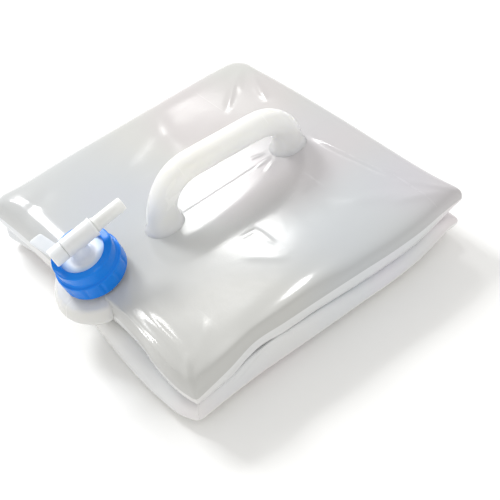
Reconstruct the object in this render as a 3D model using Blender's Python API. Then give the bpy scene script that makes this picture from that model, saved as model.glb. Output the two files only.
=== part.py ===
"""Folding water carrier with a screw-on tap, lying folded flat.

The bag is one blow moulding of soft polyethylene. It is built here as the stiff
panels that it folds into: a shallow dish below, a shallow dish above with the
neck on its front edge and the carry handle on its middle, and a V gusset of two
flaps in each side. The front gusset is the linkage that carries the top.
A blue screw ring clamps the tap on the neck.

Frame: origin on the ground under the middle of the bag, +Z up, the tap's side
faces -Y, the handle runs along Y. Metres.
"""

import math

import bmesh
import bpy
from mathutils import Vector

# Bag: driving sizes
PANEL_SIDE = 0.235          # both panels, at their widest
FOLDED_HEIGHT = 0.050       # ground to the flat of the top panel, folded
BASE_DEPTH = 0.016          # bottom dish, ground to the fold where its gussets start
TOP_DEPTH = 0.016           # top dish, fold to flat
BASE_ROLL = 0.007           # bottom dish is widest this far below its fold
TOP_ROLL = 0.005            # top dish is widest this far above its fold
FOLD_INSET = 0.004          # fold stands in from the dish's widest by this
SHOULDER_WIDTH = 0.028      # rounded part of a dish, in from its widest
RIM_CORNER = 0.006          # corner radius of a dish at its widest
FLAT_CORNER = 0.022         # corner radius of a dish's flat
FILM = 0.0008               # wall of the moulding
CREASE_WIDTH = 0.0026       # least width of the front and back gussets, at their crease
CLEAR = 0.0003              # gap between neighbours that touch

# Neck and its raised foot, along the neck's own leaning axis
NECK_INSET = 0.0103         # neck axis behind the panel's front, at the ring's underside
NECK_LIFT = 0.001           # ring's underside above the panel's flat, on the axis
NECK_TILT = math.radians(15.0)
NECK_RADIUS = 0.0186
NECK_WALL = 0.0024
NECK_RISE = 0.014           # ring's underside to the neck's lip
NECK_EXPOSED = 0.004        # foot's top face to the ring's underside
THREAD_HEIGHT = 0.001       # crest above the neck
FOOT_MARGIN = 0.0077        # foot stands out past the ring's band
FOOT_FLARE = 0.0038         # foot grows this much towards its base
FOOT_DEPTH = 0.011
FOOT_EDGE = 0.0012          # eased edge of the foot
FOOT_UNDERCUT = 0.002       # foot draws in again below its widest

# Screw ring
RING_WALL = 0.0013
RING_CLEAR = 0.0004         # thread crest to the ring's bore
BAND_STEP = 0.002           # grip band stands out past the collar
BAND_HEIGHT = 0.012
RING_TOP = 0.003            # top plate of the ring
RING_OPENING = 0.0156       # radius of the hole that the tap comes through
RING_EDGE = 0.0015          # eased top edge
GRIP_COUNT = 12
GRIP_DEPTH = 0.0007         # grooves between the grip pads

# Tap
GASKET_THICK = 0.0017
FLANGE_THICK = 0.0024
TAP_TURN = math.radians(5.6)    # tap stands turned off the bag's middle plane
STEM_RADIUS = 0.006
PORT_RADIUS = 0.003         # water way through stem and plug
BARREL_RISE = 0.0112        # barrel axis above the ring
BARREL_WALL = 0.0015
BARREL_REAR = 0.0165        # barrel's end on the nozzle side, from the neck axis
BARREL_FRONT = 0.007        # barrel's end on the lever side
PLUG_RADIUS = 0.0048
PLUG_BORE = 0.0034
NOZZLE_REACH = 0.0399       # nozzle's end from the neck axis
BEAD_RISE = 0.0007          # snap bead that keeps the plug in
BEAD_LENGTH = 0.0015
HEAD_LENGTH = 0.010
HEAD_RADIUS = 0.0064
LEVER_REACH = 0.0245        # lever's tip from the barrel axis
LEVER_WIDTH = 0.0095
LEVER_THICK = 0.0026
LEVER_SKEW = 0.005          # tip stands this far past the root, away from the barrel
LEVER_CORNER = 0.003        # cut corner at the tip

# Carry handle
HANDLE_CENTRE = 0.008       # middle of the handle behind the panel's middle
HANDLE_SPAN = 0.113         # leg to leg, on the centre line
HANDLE_RISE = 0.0355        # centre line above the panel
HANDLE_BEND = 0.027         # centre line's radius at the shoulders
HANDLE_FALL = 0.0035        # rear shoulder lower, and front one higher, by this
BAR_WIDTH = 0.019           # across the bag
BAR_DEPTH = 0.019           # across the bar, in the plane of the arch
FOOT_BAR_DEPTH = 0.026      # the same at the feet
FOOT_FLANGE = 0.0013        # welded flange at each foot stands out by this
FLANGE_RISE = 0.0018
HANDLE_WALL = 0.0015
FLARE_SHARE = 0.8           # share of the rise over which a leg widens

# Working values
OVERRUN = 0.003             # cutters run past what they cut
TURN_STEPS = 48
BORE_STEPS = 32
CORNER_STEPS = 5
SHOULDER_STEPS = 6
ROLL_STEPS = 3
BAR_STEPS = 20
BEND_STEPS = 7
LEG_STEPS = 2
CREST_STEPS = 4
RING_STEPS = 72
GROOVE_SHARE = 0.22         # share of a grip pad's pitch that its groove takes
SHARP_ANGLE = math.radians(35.0)

# Derived from the sizes above
HALF = PANEL_SIDE / 2
FOLD = HALF - FOLD_INSET
LOWER_FOLD = BASE_DEPTH
UPPER_FOLD = FOLDED_HEIGHT - TOP_DEPTH
GUSSET_RISE = (UPPER_FOLD - LOWER_FOLD) / 2
GUSSET_RUN = (FOLD - CREASE_WIDTH / 2) / (1 + (FILM + CLEAR) / GUSSET_RISE)
GUSSET = math.hypot(GUSSET_RUN, GUSSET_RISE)
REST_ANGLE = math.atan2(GUSSET_RISE, GUSSET_RUN)
HINGE_GAP = (FILM / 2 + CLEAR) / math.cos(REST_ANGLE)
CREASE_GAP = CLEAR / math.sin(REST_ANGLE) / 2
MITRE_GAP = (FILM / math.cos(REST_ANGLE) + CLEAR) / math.tan(REST_ANGLE)

RING_BORE = NECK_RADIUS + THREAD_HEIGHT + RING_CLEAR
COLLAR_RADIUS = RING_BORE + RING_WALL
BAND_RADIUS = COLLAR_RADIUS + BAND_STEP
FOOT_RADIUS = BAND_RADIUS + FOOT_MARGIN
NECK_BORE = NECK_RADIUS - NECK_WALL
GASKET_LOW = NECK_RISE + CLEAR
GASKET_HIGH = GASKET_LOW + GASKET_THICK
FLANGE_LOW = GASKET_HIGH + CLEAR
FLANGE_HIGH = FLANGE_LOW + FLANGE_THICK
PLATE_LOW = FLANGE_HIGH + CLEAR
RING_HEIGHT = PLATE_LOW + RING_TOP
BARREL_BORE = PLUG_RADIUS + CLEAR
BARREL_RADIUS = BARREL_BORE + BARREL_WALL
BARREL_HEIGHT = RING_HEIGHT + BARREL_RISE


# Materials

def plastic(name, colour, roughness):
    """A plain plastic: one Principled shader with the piece's own colour."""
    material = bpy.data.materials.new(name)
    material.use_nodes = True
    shader = material.node_tree.nodes["Principled BSDF"]
    shader.inputs["Base Color"].default_value = (*colour, 1.0)
    shader.inputs["Roughness"].default_value = roughness
    shader.inputs["Metallic"].default_value = 0.0
    material.diffuse_color = (*colour, 1.0)
    return material


MILKY = (0.78, 0.79, 0.80)
BLUE = (0.01, 0.16, 0.72)
NATURAL = (0.82, 0.85, 0.86)
RUBBER = (0.75, 0.75, 0.73)


# Mesh helpers

def loft(name, rings, looped=False):
    """A closed body through rings of equal point counts.

    Each ring is joined to the next by quads. The end rings are filled, or, when
    looped, the last ring is joined to the first and the body is a tube.
    """
    bm = bmesh.new()
    rows = [[bm.verts.new(point) for point in ring] for ring in rings]
    pairs = list(zip(rows, rows[1:]))
    if looped:
        pairs.append((rows[-1], rows[0]))
    else:
        bm.faces.new(rows[0])
        bm.faces.new(rows[-1])
    for low, high in pairs:
        for i in range(len(low)):
            j = (i + 1) % len(low)
            bm.faces.new((low[i], low[j], high[j], high[i]))
    bmesh.ops.recalc_face_normals(bm, faces=bm.faces)
    mesh = bpy.data.meshes.new(name)
    bm.to_mesh(mesh)
    bm.free()
    mesh.shade_smooth()
    mesh.set_sharp_from_angle(angle=SHARP_ANGLE)
    return mesh


def circle(radius, height, steps=TURN_STEPS):
    """Points of a level circle round the local Z axis."""
    turns = [2 * math.pi * i / steps for i in range(steps)]
    return [(radius * math.cos(a), radius * math.sin(a), height) for a in turns]


def turned(profile, steps=TURN_STEPS):
    """Rings for a turned shape from (radius, height) pairs."""
    return [circle(radius, height, steps) for radius, height in profile]


def round_bar(radius, start, end, steps=BORE_STEPS):
    """Two rings of a straight round bar along the local Y axis."""
    rings = []
    for y in (start, end):
        rings.append([(x, y, z) for x, z, _ in circle(radius, 0.0, steps)])
    return rings


def cross_bar(radius, start, end, steps=BORE_STEPS):
    """Two rings of a straight round bar along the local X axis."""
    rings = []
    for x in (start, end):
        rings.append([(x, y, z) for y, z, _ in circle(radius, 0.0, steps)])
    return rings


def rounded_square(half, radius, height):
    """Points of a level square with round corners, counterclockwise from above."""
    points = []
    for quarter in range(4):
        for step in range(CORNER_STEPS + 1):
            a = math.pi / 2 * (quarter + step / CORNER_STEPS)
            sx = 1 if quarter in (0, 3) else -1
            sy = 1 if quarter in (0, 1) else -1
            x = sx * (half - radius) + radius * math.cos(a)
            y = sy * (half - radius) + radius * math.sin(a)
            points.append((x, y, height))
    return points


def add(name, mesh, material, parent=None, location=(0, 0, 0), rotation=(0, 0, 0)):
    """One named piece of the carrier."""
    obj = bpy.data.objects.new(name, mesh)
    bpy.context.scene.collection.objects.link(obj)
    obj.parent = parent
    obj.location = location
    obj.rotation_euler = rotation
    if material is not None:
        mesh.materials.append(material)
    return obj


def helper(name, mesh, parent=None, location=(0, 0, 0), rotation=(0, 0, 0)):
    """A form that only shapes other pieces, kept out of the model."""
    obj = add(name, mesh, None, parent, location, rotation)
    obj.hide_render = True
    obj.display_type = "WIRE"
    return obj


def axis_mark(name, parent=None, location=(0, 0, 0), rotation=(0, 0, 0)):
    """An empty on an axis that pieces hang from."""
    return add(name, None, None, parent, location, rotation)


def combine(obj, operation, *others):
    """Add or cut each of the other forms, live."""
    for other in others:
        step = obj.modifiers.new(other.name, "BOOLEAN")
        step.operation = operation
        step.solver = "EXACT"
        step.object = other


# Bag panels

def dish_rings(depth, roll, facing, wall):
    """Rings of a shallow dish, drawn in by wall, from its fold at zero to its flat.

    From the fold it rolls out to its widest in a quarter of an ellipse, and the
    shoulder above is another: steep at the widest, level at the flat. The inner
    form starts past the fold, so that it cuts the dish open. facing is 1 for a
    dish that rises from its fold and -1 for one that drops.
    """
    rings = []
    if wall:
        mouth = FOLD - wall / 2
        rings += [rounded_square(mouth, RIM_CORNER, -facing * OVERRUN),
                  rounded_square(mouth, RIM_CORNER, facing * wall)]
    for step in range(ROLL_STEPS):
        a = math.pi / 2 * step / ROLL_STEPS
        half = FOLD + (FOLD_INSET - wall) * math.sin(a)
        height = roll - (roll - wall) * math.cos(a)
        rings.append(rounded_square(half, RIM_CORNER, facing * height))
    for step in range(SHOULDER_STEPS + 1):
        a = math.pi / 2 * step / SHOULDER_STEPS
        inset = SHOULDER_WIDTH * (1 - math.cos(a))
        height = roll + (depth - wall - roll) * math.sin(a)
        corner = RIM_CORNER + (FLAT_CORNER - RIM_CORNER) * inset / SHOULDER_WIDTH
        rings.append(rounded_square(HALF - wall - inset, corner, facing * height))
    return rings


def build_bottom_panel():
    """The dish that the carrier stands on, open upwards."""
    outer = loft("bottom_panel", dish_rings(BASE_DEPTH, BASE_ROLL, -1, 0.0))
    inner = loft("bottom_space", dish_rings(BASE_DEPTH, BASE_ROLL, -1, FILM))
    panel = add("bottom_panel", outer, plastic("bottom_film", MILKY, 0.35),
                location=(0, 0, LOWER_FOLD))
    space = helper("bottom_space", inner, location=(0, 0, LOWER_FOLD))
    combine(panel, "DIFFERENCE", space)
    return panel


def foot_profile(offset):
    """Half section of the neck's foot, drawn in by offset, top to base."""
    top = -NECK_EXPOSED - offset
    base = -NECK_EXPOSED - FOOT_DEPTH + offset
    wide = FOOT_RADIUS + FOOT_FLARE - offset
    return [(FOOT_RADIUS - FOOT_EDGE - offset, top),
            (FOOT_RADIUS - offset, top - FOOT_EDGE),
            (wide, base + FOOT_UNDERCUT),
            (wide - FOOT_UNDERCUT, base)]


def wall_block(name, front, top):
    """The space behind the front wall and below the fold, where the foot stops."""
    reach = 2 * HALF
    corners = [(-reach, front), (reach, front), (reach, reach), (-reach, reach)]
    return loft(name, [[(x, y, z) for x, y in corners] for z in (-reach, top)])


def build_top_panel(top_hinge, neck_axis):
    """The upper dish with the neck and its foot, one hollow moulding."""
    to_middle = (0, FOLD, 0)
    outer = loft("top_panel", dish_rings(TOP_DEPTH, TOP_ROLL, 1, 0.0))
    panel = add("top_panel", outer, plastic("top_film", MILKY, 0.35), top_hinge, to_middle)
    inner = loft("top_space", dish_rings(TOP_DEPTH, TOP_ROLL, 1, FILM))
    space = helper("top_space", inner, top_hinge, to_middle)

    foot = helper("foot_form", loft("foot_form", turned(foot_profile(0.0))), neck_axis)
    front = -HALF - CLEAR
    block = helper("foot_limit", wall_block("foot_limit", front, CLEAR), top_hinge, to_middle)
    combine(foot, "DIFFERENCE", block)

    hollow = helper("foot_space", loft("foot_space", turned(foot_profile(FILM))), neck_axis)
    floor = helper("foot_floor", wall_block("foot_floor", front - FILM, FILM + CLEAR),
                   top_hinge, to_middle)
    combine(hollow, "DIFFERENCE", floor)

    root = -NECK_EXPOSED - FOOT_EDGE
    tube = [(NECK_RADIUS, root), (NECK_RADIUS, NECK_RISE)]
    neck = helper("neck_form", loft("neck_form", turned(tube)), neck_axis)
    bore = [(NECK_BORE, root - OVERRUN), (NECK_BORE, NECK_RISE + OVERRUN)]
    mouth = helper("neck_mouth", loft("neck_mouth", turned(bore)), neck_axis)

    combine(panel, "UNION", foot, neck)
    combine(panel, "DIFFERENCE", space, hollow, mouth)
    return panel


# Gussets

def gusset_mesh(name, mitred, from_crease, inner_side):
    """One flap of film, flat, with its joint line on the local X axis.

    It runs along +Y from the fold to the crease, or from the crease to the fold.
    A mitred flap narrows at 45 degrees in plan towards the crease, because the
    gussets of the neighbouring sides lie over it.
    """
    ends = [HINGE_GAP, GUSSET - CREASE_GAP]
    outline = []
    for along in ends:
        if mitred:
            half = FOLD - MITRE_GAP - along * math.cos(REST_ANGLE)
        else:
            half = FOLD - RIM_CORNER - CLEAR
        y = GUSSET - along if from_crease else along
        outline.append((half, y))
    (a, ya), (b, yb) = outline
    corners = [(-a, ya), (a, ya), (b, yb), (-b, yb)]
    faces = (0.0, inner_side * FILM)
    return loft(name, [[(x, y, z) for x, y in corners] for z in faces])


def build_front_linkage():
    """Front gusset: base fold to crease to top fold, each turned on the last."""
    film = plastic("front_film", MILKY, 0.35)
    lower = add("front_gusset_lower", gusset_mesh("front_gusset_lower", True, False, -1),
                film, location=(0, -FOLD, LOWER_FOLD), rotation=(REST_ANGLE, 0, 0))
    upper = add("front_gusset_upper", gusset_mesh("front_gusset_upper", True, True, -1),
                film.copy(), lower, (0, GUSSET, 0), (math.pi - 2 * REST_ANGLE, 0, 0))
    return axis_mark("top_hinge", upper, (0, GUSSET, 0), (math.pi + REST_ANGLE, 0, 0))


def build_side_gussets(top_hinge):
    """The other three sides, a lower flap on the base and an upper on the top."""
    sides = {"right": 90, "back": 180, "left": 270}
    for side, turn in sides.items():
        heading = math.radians(turn)
        fold = Vector((math.sin(heading) * FOLD, -math.cos(heading) * FOLD, 0))
        mitred = side == "back"
        name = side + "_gusset_lower"
        add(name, gusset_mesh(name, mitred, False, -1), plastic(side + "_film_low", MILKY, 0.35),
            location=fold + Vector((0, 0, LOWER_FOLD)), rotation=(REST_ANGLE, 0, heading))
        name = side + "_gusset_upper"
        add(name, gusset_mesh(name, mitred, False, 1), plastic(side + "_film_high", MILKY, 0.35),
            top_hinge, fold + Vector((0, FOLD, 0)), (-REST_ANGLE, 0, heading))


# Carry handle

def handle_line():
    """Centre line of the arch: (along, height) from the front foot to the rear."""
    half = HANDLE_SPAN / 2
    spring = HANDLE_RISE - HANDLE_BEND
    line = [(-half, 0.0), (-half, FLANGE_RISE)]
    for step in range(1, LEG_STEPS):
        line.append((-half, spring * step / LEG_STEPS))
    for step in range(BEND_STEPS + 1):
        a = math.pi / 2 * step / BEND_STEPS
        line.append((-half + HANDLE_BEND * (1 - math.cos(a)), spring + HANDLE_BEND * math.sin(a)))
    rear = [(-y, z) for y, z in reversed(line)]
    crest = 2 * (half - HANDLE_BEND)
    for step in range(1, CREST_STEPS):
        line.append((-crest / 2 + crest * step / CREST_STEPS, HANDLE_RISE))
    line += rear
    return [(y, z - HANDLE_FALL * (y / half) * (z / HANDLE_RISE)) for y, z in line]


def bar_rings(line, wall):
    """Ellipses square to the arch, drawn in by wall, deeper towards the feet.

    The outer ones grow by the flange at the very foot.
    """
    rings = []
    last = len(line) - 1
    for i, (y, z) in enumerate(line):
        ahead = Vector(line[min(i + 1, last)])
        behind = Vector(line[max(i - 1, 0)])
        run, rise = (ahead - behind).normalized()
        if i in (0, last):
            run, rise = 0.0, (1.0 if i == 0 else -1.0)
        low = max(0.0, 1 - z / (FLARE_SHARE * HANDLE_RISE))
        depth = BAR_DEPTH + (FOOT_BAR_DEPTH - BAR_DEPTH) * low ** 1.5
        flange = FOOT_FLANGE if i in (0, last) and not wall else 0.0
        across = BAR_WIDTH / 2 - wall + flange
        deep = depth / 2 - wall + flange
        ring = []
        for step in range(BAR_STEPS):
            a = 2 * math.pi * step / BAR_STEPS
            reach = deep * math.sin(a)
            ring.append((across * math.cos(a), y - rise * reach, z + run * reach))
        rings.append(ring)
    return rings


def build_handle(top_hinge):
    """The hollow arch, open at both feet onto the bag."""
    line = handle_line()
    rings = bar_rings(line, 0.0) + bar_rings(line, HANDLE_WALL)[::-1]
    seat = (0, FOLD + HANDLE_CENTRE, TOP_DEPTH + CLEAR)
    return add("carry_handle", loft("carry_handle", rings, looped=True),
               plastic("handle_film", MILKY, 0.35), top_hinge, seat)


# Screw ring

def grip_ring(radius, height, depth):
    """A circle whose radius dips by depth in a groove between grip pads."""
    points = []
    for step in range(RING_STEPS):
        turn = step / RING_STEPS
        phase = abs((turn * GRIP_COUNT) % 1.0 - 0.5)
        dip = depth * max(0.0, 1 - phase / GROOVE_SHARE)
        a = 2 * math.pi * turn
        r = radius - dip
        points.append((r * math.cos(a), r * math.sin(a), height))
    return points


def build_cap_ring(neck_axis):
    """Blue ring: grip band, plain collar, and a top plate that holds the tap down."""
    eased = BAND_RADIUS - RING_EDGE
    shelf = COLLAR_RADIUS + GRIP_DEPTH / 2
    rings = [grip_ring(RING_BORE, 0.0, 0.0),
             grip_ring(eased, 0.0, 0.0),
             grip_ring(BAND_RADIUS, RING_EDGE / 2, GRIP_DEPTH),
             grip_ring(BAND_RADIUS, BAND_HEIGHT - RING_EDGE / 2, GRIP_DEPTH),
             grip_ring(eased, BAND_HEIGHT, 0.0),
             grip_ring(shelf, BAND_HEIGHT, 0.0),
             grip_ring(COLLAR_RADIUS, BAND_HEIGHT + GRIP_DEPTH, 0.0),
             grip_ring(COLLAR_RADIUS, RING_HEIGHT - RING_EDGE, 0.0),
             grip_ring(COLLAR_RADIUS - RING_EDGE, RING_HEIGHT, 0.0),
             grip_ring(RING_OPENING, RING_HEIGHT, 0.0),
             grip_ring(RING_OPENING, PLATE_LOW, 0.0),
             grip_ring(RING_BORE, PLATE_LOW, 0.0)]
    return add("cap_ring", loft("cap_ring", rings, looped=True),
               plastic("ring_blue", BLUE, 0.22), neck_axis)


# Tap

def build_gasket(neck_axis):
    """Flat washer between the neck's lip and the tap's flange."""
    profile = [(NECK_BORE, GASKET_LOW), (NECK_RADIUS, GASKET_LOW),
               (NECK_RADIUS, GASKET_HIGH), (NECK_BORE, GASKET_HIGH)]
    return add("tap_gasket", loft("tap_gasket", turned(profile), looped=True),
               plastic("gasket_rubber", RUBBER, 0.6), neck_axis)


def build_tap_body(tap_axis):
    """Flange, stem and the crosswise barrel, with the water way through them."""
    flange = [(NECK_RADIUS, FLANGE_LOW), (NECK_RADIUS, FLANGE_HIGH)]
    body = add("tap_body", loft("tap_body", turned(flange)),
               plastic("tap_white", NATURAL, 0.3), tap_axis)
    stem = [(STEM_RADIUS, FLANGE_LOW + FLANGE_THICK / 2), (STEM_RADIUS, BARREL_HEIGHT)]
    stem_form = helper("stem_form", loft("stem_form", turned(stem, BORE_STEPS)), tap_axis)
    up = (0, 0, BARREL_HEIGHT)
    barrel_form = helper("barrel_form", loft(
        "barrel_form", round_bar(BARREL_RADIUS, -BARREL_FRONT, BARREL_REAR)), tap_axis, up)
    bore = helper("barrel_bore", loft(
        "barrel_bore", round_bar(BARREL_BORE, -BARREL_FRONT - OVERRUN, BARREL_REAR + OVERRUN)),
        tap_axis, up)
    port = [(PORT_RADIUS, FLANGE_LOW - OVERRUN), (PORT_RADIUS, BARREL_HEIGHT)]
    port_form = helper("stem_port", loft("stem_port", turned(port, BORE_STEPS)), tap_axis)
    combine(body, "UNION", stem_form, barrel_form)
    combine(body, "DIFFERENCE", bore, port_form)
    return body


def lever_outline():
    """Outline of the flat lever in its own plane, root to tip, tip corners cut."""
    near = -BARREL_FRONT - CLEAR
    far = near - LEVER_WIDTH
    tip = LEVER_REACH
    cut = LEVER_CORNER
    return [(0.0, near), (-tip + cut, near - LEVER_SKEW * (1 - cut / tip)),
            (-tip, near - LEVER_SKEW - cut), (-tip, far - LEVER_SKEW + cut),
            (-tip + cut, far - LEVER_SKEW * (1 - cut / tip)), (0.0, far)]


def build_tap_plug(tap_axis):
    """Turning plug: head and lever at one end, hollow nozzle out of the other."""
    up = (0, 0, BARREL_HEIGHT)
    head_start = -BARREL_FRONT - CLEAR
    head_end = head_start - HEAD_LENGTH
    bead_start = BARREL_REAR + CLEAR
    sections = [(HEAD_RADIUS, head_end), (HEAD_RADIUS, head_start), (PLUG_RADIUS, head_start),
                (PLUG_RADIUS, bead_start), (PLUG_RADIUS + BEAD_RISE, bead_start),
                (PLUG_RADIUS + BEAD_RISE, bead_start + BEAD_LENGTH),
                (PLUG_RADIUS, bead_start + BEAD_LENGTH), (PLUG_RADIUS, NOZZLE_REACH)]
    rings = [[(x, y, z) for x, z, _ in circle(r, 0.0, BORE_STEPS)] for r, y in sections]
    plug = add("tap_plug", loft("tap_plug", rings), plastic("plug_white", NATURAL, 0.3),
               tap_axis, up)
    half = LEVER_THICK / 2
    plate = [[(x, y, z) for x, y in lever_outline()] for z in (-half, half)]
    lever = helper("lever_form", loft("lever_form", plate), tap_axis, up)
    bore = helper("nozzle_bore", loft(
        "nozzle_bore", round_bar(PLUG_BORE, head_start, NOZZLE_REACH + OVERRUN)), tap_axis, up)
    port = helper("plug_port", loft(
        "plug_port", cross_bar(PORT_RADIUS, 0.0, PLUG_RADIUS + OVERRUN)), tap_axis, up)
    combine(plug, "UNION", lever)
    combine(plug, "DIFFERENCE", bore, port)
    return plug


def build():
    """The whole carrier, folded flat, with its tap closed."""
    for obj in list(bpy.data.objects):
        bpy.data.objects.remove(obj, do_unlink=True)
    build_bottom_panel()
    top_hinge = build_front_linkage()
    build_side_gussets(top_hinge)
    neck_foot = (0, NECK_INSET - FOLD_INSET, TOP_DEPTH + NECK_LIFT)
    neck_axis = axis_mark("neck_axis", top_hinge, neck_foot, (NECK_TILT, 0, 0))
    build_top_panel(top_hinge, neck_axis)
    build_handle(top_hinge)
    build_gasket(neck_axis)
    build_cap_ring(neck_axis)
    tap_axis = axis_mark("tap_axis", neck_axis, rotation=(0, 0, -TAP_TURN))
    build_tap_body(tap_axis)
    build_tap_plug(tap_axis)


build()
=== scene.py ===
# %% [markdown]
# # A folding water carrier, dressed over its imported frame
# The carrier is one blow moulding of soft, milky polyethylene: a shallow dish above, a shallow dish
# below, and a V gusset in each side that lets the two dishes lie on each other. A blue screw ring
# clamps a small tap on the neck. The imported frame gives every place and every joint, so this file
# only makes surfaces and finishes. All shapes are worked out in millimetres and scaled once.

# %% The frame
import math

import bpy
import numpy as np
from mathutils import Matrix, Vector


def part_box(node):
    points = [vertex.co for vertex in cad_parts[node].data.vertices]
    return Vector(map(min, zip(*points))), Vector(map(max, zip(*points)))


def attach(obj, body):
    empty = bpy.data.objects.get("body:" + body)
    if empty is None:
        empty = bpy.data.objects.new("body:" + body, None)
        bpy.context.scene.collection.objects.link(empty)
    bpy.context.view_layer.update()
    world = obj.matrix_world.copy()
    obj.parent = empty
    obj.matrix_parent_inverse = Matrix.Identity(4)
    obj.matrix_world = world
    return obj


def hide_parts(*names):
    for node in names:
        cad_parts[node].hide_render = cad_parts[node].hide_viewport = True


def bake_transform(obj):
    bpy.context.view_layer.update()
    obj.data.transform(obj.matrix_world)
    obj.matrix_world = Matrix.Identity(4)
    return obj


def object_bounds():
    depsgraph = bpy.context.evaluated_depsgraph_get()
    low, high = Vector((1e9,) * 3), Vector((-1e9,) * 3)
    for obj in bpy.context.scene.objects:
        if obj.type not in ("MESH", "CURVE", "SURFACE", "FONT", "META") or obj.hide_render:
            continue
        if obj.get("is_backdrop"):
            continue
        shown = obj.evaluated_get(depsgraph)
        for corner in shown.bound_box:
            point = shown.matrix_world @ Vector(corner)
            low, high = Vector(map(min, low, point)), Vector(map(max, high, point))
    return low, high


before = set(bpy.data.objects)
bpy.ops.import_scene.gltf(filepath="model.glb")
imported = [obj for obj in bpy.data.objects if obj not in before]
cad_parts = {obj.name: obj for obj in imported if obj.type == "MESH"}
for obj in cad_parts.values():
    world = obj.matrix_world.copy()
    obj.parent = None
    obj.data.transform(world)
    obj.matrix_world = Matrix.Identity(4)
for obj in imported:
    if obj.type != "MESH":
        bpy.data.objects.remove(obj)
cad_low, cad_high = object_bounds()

MM, TINY = 0.001, 1e-9
print("frame box in mm:", [round(v / MM, 1) for v in (*cad_low, *cad_high)])

# %% [markdown]
# ## The camera
# The photograph was taken from the front right corner, looking down at about 45 degrees, with the
# camera a little tilted. A Track To constraint could aim it, but a fixed matrix built from three
# angles holds the tilt too.

# %% Camera at the photograph's angle
AZIMUTH, ELEVATION, ROLL = (math.radians(a) for a in (55.34, 45.41, -8.46))
FOCAL_PIXELS, FRAME_PIXELS, SENSOR = 1100.0, 500.0, 36.0
DISTANCE, AIM = 782.5 * MM, Vector((0, 0, 30 * MM))
SHIFT_RIGHT, SHIFT_UP = 19.32 * MM, -28.46 * MM

back = Vector((math.sin(AZIMUTH) * math.cos(ELEVATION),
               -math.cos(AZIMUTH) * math.cos(ELEVATION), math.sin(ELEVATION)))
level = Vector((math.cos(AZIMUTH), math.sin(AZIMUTH), 0))
upright = back.cross(level)
right = level * math.cos(ROLL) + upright * math.sin(ROLL)
up = upright * math.cos(ROLL) - level * math.sin(ROLL)
target = AIM + right * SHIFT_RIGHT + up * SHIFT_UP
eye = target + back * DISTANCE


def placed(name, data):
    """A new object of the scene that holds the data."""
    holder = bpy.data.objects.new(name, data)
    bpy.context.scene.collection.objects.link(holder)
    return holder


camera_data = bpy.data.cameras.new("camera")
camera_data.sensor_width = SENSOR
camera_data.lens = FOCAL_PIXELS / FRAME_PIXELS * SENSOR
camera = placed("camera", camera_data)
camera.matrix_world = Matrix(((right.x, up.x, back.x, eye.x), (right.y, up.y, back.y, eye.y),
                              (right.z, up.z, back.z, eye.z), (0, 0, 0, 1)))
bpy.context.scene.camera = camera
bpy.context.scene.view_settings.view_transform = "Standard"
print("camera at", [round(v, 3) for v in eye], "lens", round(camera_data.lens, 1))

# %% [markdown]
# ## Surfaces from grids
# Every piece here is a grid of points: rows along one parameter, columns along another. A skin has
# an outer and an inner grid joined round the edge, so that even thin film is a closed body. A tube
# is a grid whose columns wrap round. Modelling by hand or with modifiers would hide the formula;
# whole arrays keep it visible and are fast.

# %% Faces between the points of a grid
def cells(index, wrap_rows=False, wrap_cols=False):
    """Corner numbers of each cell: a point, the next row's, the one beyond it, the next column's."""
    rows = slice(None) if wrap_rows else slice(0, -1)
    cols = slice(None) if wrap_cols else slice(0, -1)
    below, beside = np.roll(index, -1, 0), np.roll(index, -1, 1)
    across = np.roll(below, -1, 1)
    return np.stack([g[rows, cols] for g in (index, below, across, beside)], -1).reshape(-1, 4)


def fan(ring, centre):
    """Triangles from each edge of a closed ring to one centre point."""
    return np.stack([ring, np.roll(ring, -1), np.full_like(ring, centre)], -1)


# %% A mesh object from arrays
def add_piece(name, points, quads, tris=None, sharp=38.0):
    """An object from points in mm and faces as corner numbers, faces turned outwards.

    The signed volume is a sixth of the sum of (a x b) . c over all triangles; where it is
    negative, every face is reversed.
    """
    points = np.asarray(points, float).reshape(-1, 3)
    tris = np.zeros((0, 3), int) if tris is None else np.asarray(tris).reshape(-1, 3)
    both = np.concatenate([tris, quads[:, [0, 1, 2]], quads[:, [0, 2, 3]]])
    a, b, c = (points[both[:, k]] for k in range(3))
    volume = np.einsum("ij,ij->i", np.cross(a, b), c).sum() / 6
    if volume < 0:
        quads, tris = quads[:, ::-1], tris[:, ::-1]
    corners = np.concatenate([quads.ravel(), tris.ravel()]).astype(np.int32)
    starts = np.concatenate([np.arange(len(quads)) * 4, 4 * len(quads) + np.arange(len(tris)) * 3])
    mesh = bpy.data.meshes.new(name)
    mesh.vertices.add(len(points))
    mesh.vertices.foreach_set("co", (points * MM).astype(np.float32).ravel())
    mesh.loops.add(len(corners))
    mesh.loops.foreach_set("vertex_index", corners)
    mesh.polygons.add(len(starts))
    mesh.polygons.foreach_set("loop_start", starts.astype(np.int32))
    mesh.update(calc_edges=True)
    mesh.validate()
    mesh.shade_smooth()
    mesh.set_sharp_from_angle(angle=math.radians(sharp))
    print(f"{name}: {len(points)} points, {abs(volume) / 1000:.2f} cm3")
    return placed(name, mesh)


def mark(piece, attribute, values):
    """Stores one number per point on the piece, or one for them all, for its material to read."""
    layer = piece.data.attributes.new(attribute, "FLOAT", "POINT")
    values = np.broadcast_to(np.ravel(values), len(piece.data.vertices))
    layer.data.foreach_set("value", values.astype(np.float32))


# %% Skins, tubes and turned pieces
def facing(grid):
    """Unit normals of a grid: the cross product of the steps along columns and along rows."""
    normal = np.cross(np.gradient(grid, axis=1), np.gradient(grid, axis=0))
    return normal / np.maximum(np.linalg.norm(normal, axis=-1, keepdims=True), TINY)


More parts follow.
